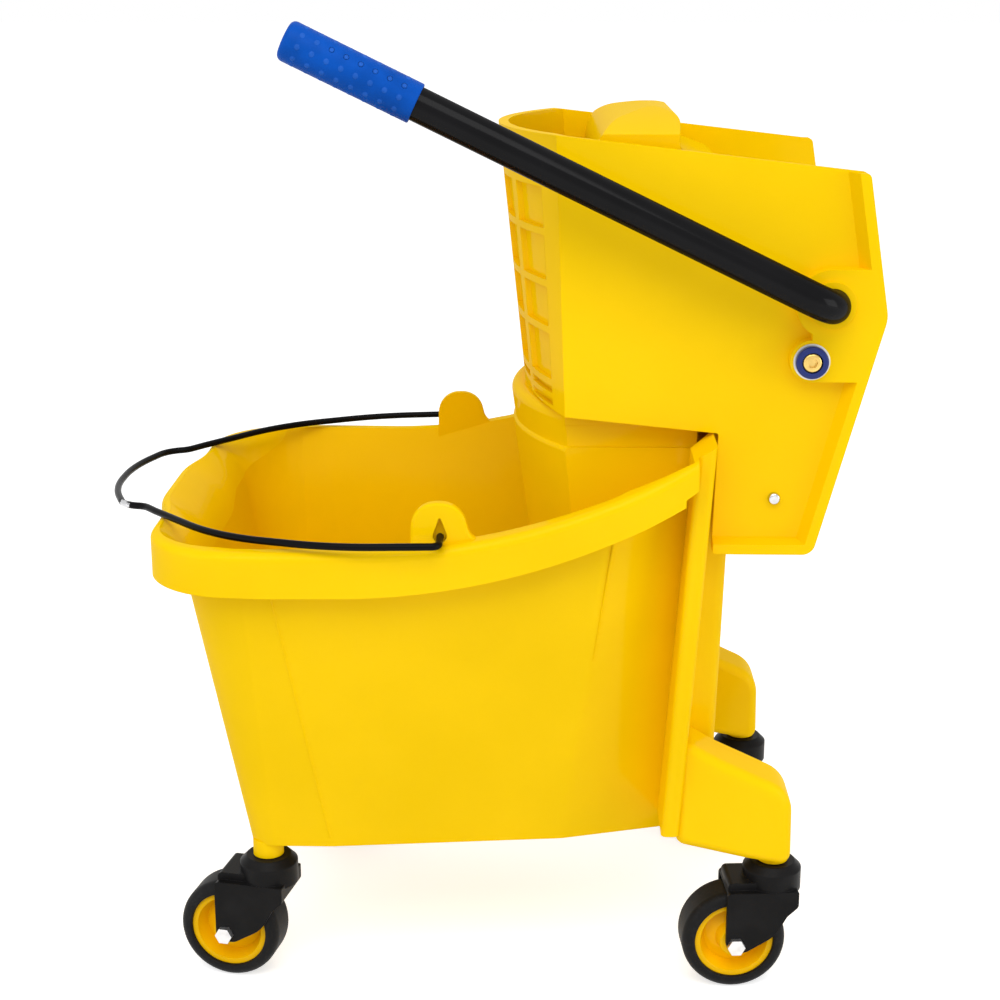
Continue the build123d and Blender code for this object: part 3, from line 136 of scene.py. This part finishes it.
class StageSettings(bpy.types.PropertyGroup):
    """Camera, floor and the light from all round."""

    eye: FloatVectorProperty(
        name="Eye",
        description="Camera's place",
        subtype="XYZ",
        unit="LENGTH",
        default=(0.04625, -1.32244, 0.70712),
    )
    turn: angle_property("Turn", "Camera turned from +Y towards +X", -0.0237911)
    tilt: angle_property("Tilt", "Camera tilted down", 0.277007)
    lens: FloatProperty(name="Lens", description="Focal length in millimetres", default=65.98)
    floor: length_property("Floor", "Half width of the floor", 30.0)
    floor_grey: FloatProperty(name="Floor grey", description="How pale the floor is", default=0.8)
    floor_glow: FloatProperty(name="Floor glow", description="What whitens the seen floor", default=0.62)
    ambient: FloatProperty(name="Ambient", description="Strength of the light from all round", default=0.67)


class Value:
    """A number that changes over a surface; arithmetic on it adds Math nodes."""

    def __init__(self, finish, socket):
        self.finish = finish
        self.socket = socket

    def __add__(self, other):
        return self.finish.maths("ADD", self, other)

    def __radd__(self, other):
        return self.finish.maths("ADD", other, self)

    def __sub__(self, other):
        return self.finish.maths("SUBTRACT", self, other)

    def __rsub__(self, other):
        return self.finish.maths("SUBTRACT", other, self)

    def __mul__(self, other):
        return self.finish.maths("MULTIPLY", self, other)

    def __rmul__(self, other):
        return self.finish.maths("MULTIPLY", other, self)


class Finish:
    """The nodes of one material, or of the sky."""

    def __init__(self, holder):
        self.holder = holder
        holder.use_nodes = True
        self.tree = holder.node_tree
        self.tree.nodes.clear()

    @classmethod
    def material(cls, name):
        """An empty material."""
        return cls(bpy.data.materials.new(name))

    def node(self, kind, settings=None, inputs=None):
        """Add a node with its settings, then the values or links of its sockets."""
        made = self.tree.nodes.new(kind)
        for key, value in (settings or {}).items():
            setattr(made, key, value)
        for key, value in (inputs or {}).items():
            socket = made.inputs[key]
            source = value.socket if isinstance(value, Value) else value
            if isinstance(source, bpy.types.NodeSocket):
                self.tree.links.new(source, socket)
            else:
                socket.default_value = source
        return made

    def maths(self, operation, *values):
        """A Math node's result."""
        made = self.node("ShaderNodeMath", {"operation": operation}, dict(enumerate(values)))
        return Value(self, made.outputs[0])

    def place(self):
        """Each point's place in metres."""
        return self.node("ShaderNodeTexCoord").outputs["Object"]

    def noise(self, scale, detail=3.0, rough=0.5, stretch=None):
        """Cloudy noise from 0 to 1 at a number of spots per metre, stretched where stretch is under 1."""
        place = self.place()
        if stretch:
            place = self.node("ShaderNodeMapping", {}, {"Vector": place, "Scale": stretch}).outputs[0]
        made = self.node(
            "ShaderNodeTexNoise",
            {},
            {"Vector": place, "Scale": scale, "Detail": detail, "Roughness": rough},
        )
        return Value(self, made.outputs["Fac"])

    def distance(self, point):
        """Each point's distance in metres from one point."""
        made = self.node("ShaderNodeVectorMath", {"operation": "DISTANCE"}, {0: self.place(), 1: point})
        return Value(self, made.outputs["Value"])

    def between(self, value, low, high):
        """Value stretched so that low gives 0 and high gives 1, smoothly."""
        made = self.node(
            "ShaderNodeMapRange",
            {"interpolation_type": "SMOOTHSTEP"},
            {"Value": value, "From Min": low, "From Max": high},
        )
        return Value(self, made.outputs["Result"])

    def mixed(self, share, first, second):
        """Colour between two plain colours."""
        colours = {6: (*first, 1.0), 7: (*second, 1.0)}
        made = self.node("ShaderNodeMix", {"data_type": "RGBA"}, {0: share, **colours})
        return made.outputs[2]

    def rounded(self, radius):
        """Normal that rounds every edge of a part."""
        return self.node("ShaderNodeBevel", {"samples": 6}, {"Radius": radius}).outputs[0]

    def bumped(self, height, depth, edge):
        """Normal with a height of a depth in metres on it, over edges rounded by edge."""
        made = self.node(
            "ShaderNodeBump",
            {},
            {"Height": height, "Distance": depth, "Strength": 1.0, "Normal": self.rounded(edge)},
        )
        return made.outputs[0]

    def surface(self, **sockets):
        """Finish the material with a Principled shader; socket names use _ for spaces."""
        inputs = {key.replace("_", " "): value for key, value in sockets.items()}
        shader = self.node("ShaderNodeBsdfPrincipled", {}, inputs)
        self.node("ShaderNodeOutputMaterial", {}, {"Surface": shader.outputs[0]})
        return self.holder


def shade(colour, factor):
    """A colour made lighter or darker."""
    return tuple(min(1.0, channel * factor) for channel in colour)


def moulded_plastic(name, colour, roughness, edge, gloss):
    """Deep-coloured moulded plastic with a thin clear gloss: slight clouds, a fine skin and soft edges."""
    finish = Finish.material(name)
    cloud = finish.noise(7.0, detail=4.0)
    skin = finish.noise(900.0, detail=2.0)
    ripple = finish.noise(26.0, detail=1.0)
    tint = finish.mixed(finish.between(cloud, 0.3, 0.7), shade(colour, 0.96), shade(colour, 1.03))
    uneven = 0.1 * (cloud - 0.5)
    return finish.surface(
        Base_Color=tint,
        Roughness=roughness + uneven,
        Normal=finish.bumped(skin * 0.4 + ripple * 3.0, depth=0.00008, edge=edge),
        Specular_IOR_Level=0.0,
        Coat_Weight=gloss + uneven,
        Coat_Roughness=0.1,
    )


def black_plastic(name, colour):
    """Satin black moulding with a fine grain and paler clouds."""
    finish = Finish.material(name)
    grain = finish.noise(1400.0, detail=2.0)
    cloud = finish.noise(40.0)
    return finish.surface(
        Base_Color=finish.mixed(finish.between(cloud, 0.35, 0.75), colour, shade(colour, 1.7)),
        Roughness=0.34 + 0.14 * cloud,
        Normal=finish.bumped(grain, depth=0.00006, edge=0.0012),
        Specular_IOR_Level=0.08,
    )


def tread_rubber(name, colour):
    """Matt black tread with faint scuffs."""
    finish = Finish.material(name)
    scuff = finish.noise(180.0, detail=6.0, rough=0.7)
    return finish.surface(
        Base_Color=finish.mixed(finish.between(scuff, 0.45, 0.8), colour, shade(colour, 2.2)),
        Roughness=0.42 + 0.18 * scuff,
        Normal=finish.bumped(scuff, depth=0.00012, edge=0.0008),
        Specular_IOR_Level=0.1,
    )


def black_paint(name, colour):
    """Glossy black coating with a slight ripple along the tube."""
    finish = Finish.material(name)
    peel = finish.noise(420.0, detail=2.0)
    cloud = finish.noise(30.0)
    return finish.surface(
        Base_Color=finish.mixed(finish.between(cloud, 0.3, 0.7), colour, shade(colour, 1.4)),
        Roughness=0.2 + 0.08 * cloud,
        Normal=finish.bumped(peel, depth=0.00005, edge=0.0006),
        Specular_IOR_Level=0.0,
        Coat_Weight=0.2,
        Coat_Roughness=0.16,
    )


def wire_paint(name, colour, steel, bend):
    """Black coating that is rubbed through to the steel at one bend of the bail."""
    finish = Finish.material(name)
    near = 1 - finish.between(finish.distance(bend), 0.003, 0.010)
    chips = finish.noise(420.0, detail=4.0, rough=0.65)
    worn = finish.between(chips + near * 0.5, 0.72, 0.84)
    return finish.surface(
        Base_Color=finish.mixed(worn, colour, steel),
        Metallic=worn * 0.9,
        Roughness=0.24 + 0.1 * chips,
        Normal=finish.bumped(chips, depth=0.00005, edge=0.0006),
        Specular_IOR_Level=0.06,
    )


def grip_rubber(name, colour):
    """Satin blue sleeve, slightly clouded."""
    finish = Finish.material(name)
    cloud = finish.noise(60.0, detail=4.0)
    grain = finish.noise(1800.0, detail=2.0)
    return finish.surface(
        Base_Color=finish.mixed(finish.between(cloud, 0.25, 0.75), shade(colour, 0.9), shade(colour, 1.2)),
        Roughness=0.36 + 0.12 * cloud,
        Normal=finish.bumped(grain, depth=0.00005, edge=0.0005),
        Specular_IOR_Level=0.05,
    )


def plated_metal(name, colour, roughness):
    """Plated steel with fine turning marks and dull spots."""
    finish = Finish.material(name)
    marks = finish.noise(700.0, detail=3.0, stretch=(1.0, 0.15, 1.0))
    dull = finish.noise(120.0, detail=4.0)
    return finish.surface(
        Base_Color=finish.mixed(finish.between(dull, 0.4, 0.8), colour, shade(colour, 0.82)),
        Metallic=1.0,
        Roughness=roughness + 0.15 * dull,
        Normal=finish.bumped(marks, depth=0.00003, edge=0.0005),
    )


def finish_nodes(names, material):
    """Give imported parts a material."""
    for name in names:
        slots = frame["nodes"][name].data.materials
        slots.clear()
        slots.append(material)


def finish_slot(slot, material):
    """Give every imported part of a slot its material."""
    finish_nodes(SLOT_NODES[slot], material)


def mesh_object(name, shape, materials):
    """Turn a bmesh into an object in the scene."""
    mesh = bpy.data.meshes.new(name)
    shape.to_mesh(mesh)
    shape.free()
    for material in materials:
        mesh.materials.append(material)
    made = bpy.data.objects.new(name, mesh)
    bpy.context.scene.collection.objects.link(made)
    return made


def new_piece(name, shape, place, materials, body):
    """Make a smooth piece from a bmesh, with its place in its mesh, and let it ride on a body."""
    shape.transform(place)
    bmesh.ops.recalc_face_normals(shape, faces=shape.faces)
    for face in shape.faces:
        face.smooth = True
    piece = mesh_object(name, shape, materials)
    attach(piece, body)
    return piece


def spun(shape, outline, steps):
    """Turn an outline of (radius, height) points about Z into a closed shell."""
    start = [shape.verts.new((radius, 0.0, height)) for radius, height in outline]
    edges = [shape.edges.new(pair) for pair in zip(start, start[1:])]
    bmesh.ops.spin(
        shape,
        geom=start + edges,
        cent=(0.0, 0.0, 0.0),
        axis=(0.0, 0.0, 1.0),
        angle=math.tau,
        steps=steps,
        use_merge=True,
    )
    bmesh.ops.remove_doubles(shape, verts=shape.verts, dist=1e-6)


def sleeve_outline(sizes, length):
    """The grip's half section as (radius, height) points: bore, open end, outside and rounded tip."""
    tube_end = length - sizes.wall
    outline = [(0.0, tube_end), (sizes.bore, tube_end), (sizes.bore, 0.0)]
    outline += [(sizes.radius - sizes.edge, 0.0), (sizes.radius, sizes.edge)]
    reach = sizes.wall * TIP_ROUND
    for step in range(TIP_STEPS + 1):
        turn = math.pi / 2 * step / TIP_STEPS
        outline.append((sizes.radius - reach * (1 - math.cos(turn)), length - reach * (1 - math.sin(turn))))
    return outline + [(0.0, length)]


def add_dots(shape, sizes, length):
    """Raised dots in rows round the sleeve, on the piece's second material, a paler blue that paints their
    highlight.
    """
    sleeve_faces = len(shape.faces)
    count = int((length - 2 * sizes.wall) / sizes.pitch)
    start = (length - (count - 1) * sizes.pitch) / 2
    out = sizes.radius - sizes.dot * DOT_SINK
    flat = Matrix.Diagonal((DOT_FLATNESS, 1.0, 1.0, 1.0))
    for row in range(sizes.rows):
        turn = Matrix.Rotation(math.tau * row / sizes.rows, 4, "Z")
        for step in range(count):
            offset = Matrix.Translation((out, 0.0, start + step * sizes.pitch))
            bmesh.ops.create_uvsphere(
                shape,
                u_segments=DOT_SEGMENTS,
                v_segments=DOT_RINGS,
                radius=sizes.dot,
                matrix=turn @ offset @ flat,
            )
    shape.faces.ensure_lookup_table()
    for face in shape.faces[sleeve_faces:]:
        face.material_index = 1


class TROLLEY_OT_mouldings(bpy.types.Operator):
    """Give the bucket, the wringer and the hubs their yellow plastic"""

    bl_idname = "trolley.mouldings"
    bl_label = "Yellow mouldings"

    def execute(self, context):
        colours = context.scene.trolley_colours
        body = moulded_plastic("body_yellow", tuple(colours.body), roughness=0.24, edge=0.0008, gloss=0.1)
        hub = moulded_plastic("hub_yellow", tuple(colours.hub), roughness=0.34, edge=0.0008, gloss=0.15)
        finish_slot("yellow_plastic", body)
        finish_slot("hub_plastic", hub)
        return {"FINISHED"}


class TROLLEY_OT_casters(bpy.types.Operator):
    """Give the casters' forks and tyres their black plastic and rubber"""

    bl_idname = "trolley.casters"
    bl_label = "Casters"

    def execute(self, context):
        colours = context.scene.trolley_colours
        finish_slot("black_plastic", black_plastic("fork_black", tuple(colours.fork)))
        finish_slot("tyre", tread_rubber("tread_black", tuple(colours.tread)))
        return {"FINISHED"}


class TROLLEY_OT_ironwork(bpy.types.Operator):
    """Give the lever, the bail and the fastenings their paint and plating"""

    bl_idname = "trolley.ironwork"
    bl_label = "Lever, bail and fastenings"

    def execute(self, context):
        colours = context.scene.trolley_colours
        paint = tuple(colours.paint)
        steel = tuple(colours.steel)
        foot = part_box("bail_wire")[0]
        bend = (foot.x + WORN_BACK, WORN_Y, foot.z + WORN_UP)
        cup = moulded_plastic("cup_blue", tuple(colours.cup), roughness=0.2, edge=0.0006, gloss=0.6)
        finish_slot("black_tube", black_paint("lever_paint", paint))
        finish_slot("black_wire", wire_paint("bail_paint", paint, steel, bend))
        finish_slot("zinc_steel", plated_metal("zinc", steel, roughness=0.28))
        finish_nodes(["hinge_pin_caps"], plated_metal("polished_cap", steel, roughness=0.06))
        finish_slot("white_zinc", plated_metal("bright_zinc", shade(steel, 1.2), roughness=0.32))
        finish_slot("gold_steel", plated_metal("passivate", tuple(colours.gold), roughness=0.2))
        finish_slot("blue_plastic", cup)
        return {"FINISHED"}


class TROLLEY_OT_grip(bpy.types.Operator):
    """Model the blue sleeve with its rows of raised dots"""

    bl_idname = "trolley.grip"
    bl_label = "Dotted grip"

    def execute(self, context):
        sizes = context.scene.grip_sizes
        low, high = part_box("lever_grip")
        pivot = Vector(JOINTS["lever_pull"]["pos_m"])
        middle = (low + high) / 2
        along = Vector((middle.x - pivot.x, 0.0, middle.z - pivot.z)).normalized()
        outer = (high.y - low.y) / 2
        length = ((high.x - low.x) - 2 * outer * abs(along.z)) / abs(along.x)
        shape = bmesh.new()
        spun(shape, sleeve_outline(sizes, length), SLEEVE_STEPS)
        add_dots(shape, sizes, length)
        across = Vector((0.0, -1.0, 0.0))
        place = Matrix((across, along.cross(across), along)).transposed().to_4x4()
        place.translation = middle - along * (length / 2)
        blue = tuple(context.scene.trolley_colours.grip)
        # The dots' paler blue is a painted highlight, standing in for the light their raised tops catch.
        paler = (blue[0] + 0.012, blue[1] * 1.35, blue[2] * 1.12)
        materials = [grip_rubber("grip_blue", blue), grip_rubber("grip_dots_painted_highlight", paler)]
        grip = new_piece("dotted_grip", shape, place, materials, "lever")
        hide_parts("lever_grip")
        return {"FINISHED"}


class TROLLEY_OT_stage(bpy.types.Operator):
    """Lay the pale floor, hang the lamps and set the camera"""

    bl_idname = "trolley.stage"
    bl_label = "Stage"

    def execute(self, context):
        stage = context.scene.trolley_stage
        context.scene.view_settings.view_transform = "Standard"
        self.lay_floor(stage)
        self.light_world(context, stage)
        for name, place, size, power in LAMPS:
            self.hang_lamp(context, name, Vector(place), size, power)
        self.set_camera(context, stage)
        return {"FINISHED"}

    def lay_floor(self, stage):
        """A plain floor that shows white and keeps the shadow."""
        finish = Finish.material("floor_white")
        grey = (*[stage.floor_grey] * 3, 1.0)
        glow = self.seen_directly(finish) * stage.floor_glow
        pale = finish.node("ShaderNodeBsdfDiffuse", {}, {"Color": grey})
        bright = finish.node("ShaderNodeEmission", {}, {"Color": WHITE, "Strength": glow})
        both = finish.node("ShaderNodeAddShader", {}, {0: pale.outputs[0], 1: bright.outputs[0]})
        finish.node("ShaderNodeOutputMaterial", {}, {"Surface": both.outputs[0]})
        shape = bmesh.new()
        bmesh.ops.create_grid(shape, x_segments=1, y_segments=1, size=stage.floor)
        mesh_object("floor", shape, [finish.holder])

    @staticmethod
    def seen_directly(finish):
        """1 where the camera, a reflection or glass looks, 0 for light that falls on the object."""
        path = finish.node("ShaderNodeLightPath").outputs
        seen = Value(finish, path["Is Camera Ray"])
        return seen + Value(finish, path["Is Glossy Ray"]) + Value(finish, path["Is Transmission Ray"])

    def light_world(self, context, stage):
        """Even light from all round, with a white sky."""
        world = bpy.data.worlds.new("studio")
        context.scene.world = world
        finish = Finish(world)
        strength = stage.ambient + (1.0 - stage.ambient) * self.seen_directly(finish)
        sky = finish.node("ShaderNodeBackground", {}, {"Color": WHITE, "Strength": strength})
        finish.node("ShaderNodeOutputWorld", {}, {"Surface": sky.outputs[0]})

    @staticmethod
    def hang_lamp(context, name, place, size, power):
        """A soft lamp of a width and a height that faces the object."""
        data = bpy.data.lights.new(name, "AREA")
        data.shape = "RECTANGLE"
        data.size, data.size_y = size
        data.energy = power
        lamp = bpy.data.objects.new(name, data)
        lamp.location = place
        lamp.rotation_euler = (LAMP_TARGET - place).to_track_quat("-Z", "Y").to_euler()
        context.scene.collection.objects.link(lamp)

    @staticmethod
    def set_camera(context, stage):
        """The photograph's point of view."""
        data = bpy.data.cameras.new("camera")
        data.sensor_width = SENSOR_WIDTH
        data.lens = stage.lens
        data.clip_end = FARTHEST_SEEN
        camera = bpy.data.objects.new("camera", data)
        level = math.cos(stage.tilt)
        ahead = Vector((math.sin(stage.turn) * level, math.cos(stage.turn) * level, -math.sin(stage.tilt)))
        right = Vector((math.cos(stage.turn), -math.sin(stage.turn), 0.0))
        matrix = Matrix((right, right.cross(ahead), -ahead)).transposed().to_4x4()
        matrix.translation = stage.eye
        camera.matrix_world = matrix
        context.scene.collection.objects.link(camera)
        context.scene.camera = camera


class TROLLEY_PT_panel(bpy.types.Panel):
    """Steps of the trolley's making, in order"""

    bl_idname = "TROLLEY_PT_panel"
    bl_label = "Mop bucket trolley"
    bl_space_type = "VIEW_3D"
    bl_region_type = "UI"
    bl_category = "Trolley"

    def draw(self, context):
        for operator in OPERATORS:
            self.layout.operator(operator.bl_idname)
        for name, group in GROUPS.items():
            for key in group.__annotations__:
                self.layout.prop(getattr(context.scene, name), key)


GROUPS = {"trolley_colours": TrolleyColours, "grip_sizes": GripSizes, "trolley_stage": StageSettings}
OPERATORS = (
    TROLLEY_OT_mouldings,
    TROLLEY_OT_casters,
    TROLLEY_OT_ironwork,
    TROLLEY_OT_grip,
    TROLLEY_OT_stage,
)


def register():
    """Add the property groups, the operators and the panel."""
    for name, group in GROUPS.items():
        bpy.utils.register_class(group)
        setattr(bpy.types.Scene, name, PointerProperty(type=group))
    for operator in OPERATORS:
        bpy.utils.register_class(operator)
    bpy.utils.register_class(TROLLEY_PT_panel)


def unregister():
    """Take them away again."""
    bpy.utils.unregister_class(TROLLEY_PT_panel)
    for operator in reversed(OPERATORS):
        bpy.utils.unregister_class(operator)
    for name, group in reversed(GROUPS.items()):
        delattr(bpy.types.Scene, name)
        bpy.utils.unregister_class(group)


def main():
    """Make the trolley's looks."""
    register()
    bpy.ops.trolley.mouldings()
    bpy.ops.trolley.casters()
    bpy.ops.trolley.ironwork()
    bpy.ops.trolley.grip()
    bpy.ops.trolley.stage()


if __name__ == "__main__":
    main()
